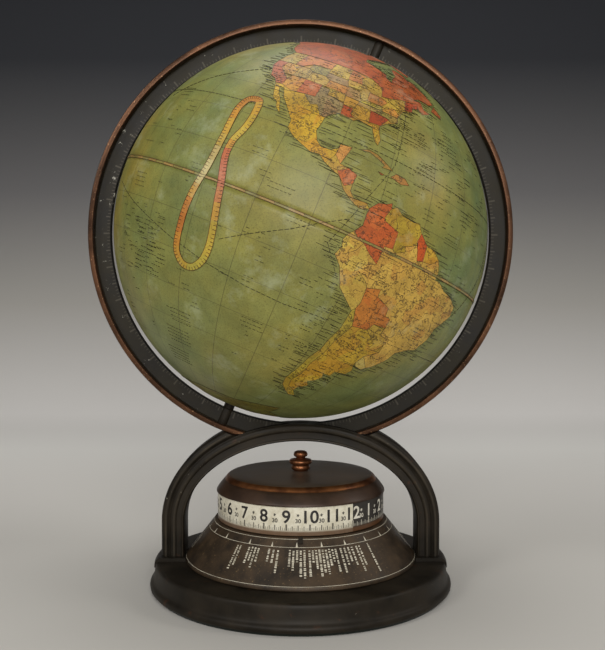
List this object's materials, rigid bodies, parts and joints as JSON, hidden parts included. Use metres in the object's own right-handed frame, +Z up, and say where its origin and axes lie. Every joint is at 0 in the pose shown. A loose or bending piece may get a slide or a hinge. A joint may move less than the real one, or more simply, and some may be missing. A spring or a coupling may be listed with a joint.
{
  "type": "desk globe with world clock",
  "caption": "Desk globe in a full meridian ring on an arched stand, with a turning 24 hour world time dial under the arch.",
  "frame": {"origin": "centre of the base's underside, on the table", "axes": "+Z up; -Y towards the front, from which the numbered dial and the ring are seen face on; +X to the viewer's right, towards which the globe's north pole leans"},
  "size_m": [0.35, 0.3048, 0.4665],
  "materials": {
    "patinated_bronze": "dark bronze patina, lightly polished",
    "worn_copper": "copper with a brown patina, buffed bright at the edges",
    "steel": "satin",
    "brass": "satin",
    "varnished_map": "printed paper under aged varnish",
    "dial_enamel": "half cream, half black, with numerals",
    "felt": "pressed felt",
    "pale_wood": "planed",
    "blued_spring": "blued"
  },
  "bodies": {
    "frame": {"base_shell": "patinated_bronze", "felt_foot_ring": "felt", "bottom_plate": "steel", "bottom_plate_screw_1": "steel", "bottom_plate_screw_2": "steel", "bottom_plate_screw_3": "steel", "arch_bracket": "patinated_bronze", "arch_screw_left": "steel", "arch_screw_right": "steel", "saddle_screw_left": "steel", "saddle_screw_right": "steel", "meridian_ring": "patinated_bronze", "pole_pin_north": "steel", "pole_pin_south": "steel", "pole_collar_north": "patinated_bronze", "pole_collar_south": "patinated_bronze", "meridian_cone": "patinated_bronze", "cone_screw_1": "steel", "cone_screw_2": "steel", "cone_screw_3": "steel", "index_tab": "patinated_bronze", "lower_plate": "brass", "upper_plate": "brass", "pillar_1": "brass", "pillar_2": "brass", "pillar_3": "brass", "frame_screw_1": "steel", "frame_screw_2": "steel", "frame_screw_3": "steel", "dial_bridge": "brass", "hairspring": "blued_spring"},
    "globe": {"globe_north_shell": "varnished_map", "globe_south_shell": "varnished_map", "globe_seam_ring": "pale_wood", "pole_ferrule_north": "brass", "pole_ferrule_south": "brass", "globe_post": "pale_wood"},
    "dial": {"hour_wheel": "brass", "dial_drum": "brass", "hour_band": "dial_enamel", "dial_lid": "worn_copper", "dial_knob": "worn_copper"},
    "minute_wheel": {"minute_wheel": "brass"},
    "cannon_pinion": {"cannon_pinion": "steel"},
    "third_arbor": {"third_arbor": "brass"},
    "centre_arbor": {"centre_arbor": "brass"},
    "fourth_arbor": {"fourth_arbor": "brass"},
    "escape_arbor": {"escape_arbor": "brass"},
    "barrel": {"barrel_drum": "brass", "great_wheel": "brass", "mainspring": "blued_spring"},
    "pallet_lever": {"pallet_lever": "steel"},
    "balance_wheel": {"balance_wheel": "brass"},
    "winding": {"barrel_arbor": "steel", "ratchet_wheel": "steel", "winding_key": "steel"},
    "click": {"click": "steel"}
  },
  "joints": [
    {"name": "globe_spin", "type": "hinge", "parent": "frame", "child": "globe", "pos_m": [0, 0, 0.2915], "axis": [0.3843, 0, 0.9232], "continuous": true},
    {"name": "dial_turn", "type": "hinge", "parent": "frame", "child": "dial", "pos_m": [0, 0, 0.055], "axis": [0, 0, 1], "continuous": true},
    {"name": "minute_wheel_turn", "type": "hinge", "parent": "frame", "child": "minute_wheel", "pos_m": [0.01819, -0.0105, 0.043], "axis": [0, 0, 1], "continuous": true},
    {"name": "cannon_pinion_turn", "type": "hinge", "parent": "frame", "child": "cannon_pinion", "pos_m": [0, 0, 0.043], "axis": [0, 0, 1], "continuous": true},
    {"name": "third_arbor_turn", "type": "hinge", "parent": "frame", "child": "third_arbor", "pos_m": [0.0102, 0.01767, 0.026], "axis": [0, 0, 1], "continuous": true},
    {"name": "centre_arbor_turn", "type": "hinge", "parent": "frame", "child": "centre_arbor", "pos_m": [0, 0, 0.036], "axis": [0, 0, 1], "continuous": true},
    {"name": "fourth_arbor_turn", "type": "hinge", "parent": "frame", "child": "fourth_arbor", "pos_m": [0.02385, 0.00621, 0.026], "axis": [0, 0, 1], "continuous": true},
    {"name": "escape_arbor_turn", "type": "hinge", "parent": "frame", "child": "escape_arbor", "pos_m": [0.02776, -0.00839, 0.026], "axis": [0, 0, 1], "continuous": true},
    {"name": "barrel_turn", "type": "hinge", "parent": "frame", "child": "barrel", "pos_m": [-0.028, 0, 0.026], "axis": [0, 0, 1], "continuous": true},
    {"name": "pallet_lever_swing", "type": "hinge", "parent": "frame", "child": "pallet_lever", "pos_m": [0.024, -0.01873, 0.026], "axis": [0, 0, 1], "range_deg": [-4, 4]},
    {"name": "balance_swing", "type": "hinge", "parent": "frame", "child": "balance_wheel", "pos_m": [0.01448, -0.02423, 0.026], "axis": [0, 0, 1], "range_deg": [-150, 150]},
    {"name": "winding_turn", "type": "hinge", "parent": "frame", "child": "winding", "pos_m": [-0.028, 0, 0.02], "axis": [0, 0, 1], "continuous": true},
    {"name": "click_lift", "type": "hinge", "parent": "frame", "child": "click", "pos_m": [-0.028, 0.0145, 0.042], "axis": [0, 0, 1], "range_deg": [-12, 0]}
  ],
  "couplings": [
    {"joint": "minute_wheel_turn", "follows": "dial_turn", "ratio": -4},
    {"joint": "cannon_pinion_turn", "follows": "dial_turn", "ratio": 24},
    {"joint": "centre_arbor_turn", "follows": "third_arbor_turn", "ratio": -0.13333},
    {"joint": "fourth_arbor_turn", "follows": "third_arbor_turn", "ratio": -8},
    {"joint": "escape_arbor_turn", "follows": "third_arbor_turn", "ratio": 64},
    {"joint": "barrel_turn", "follows": "third_arbor_turn", "ratio": 0.022222}
  ]
}
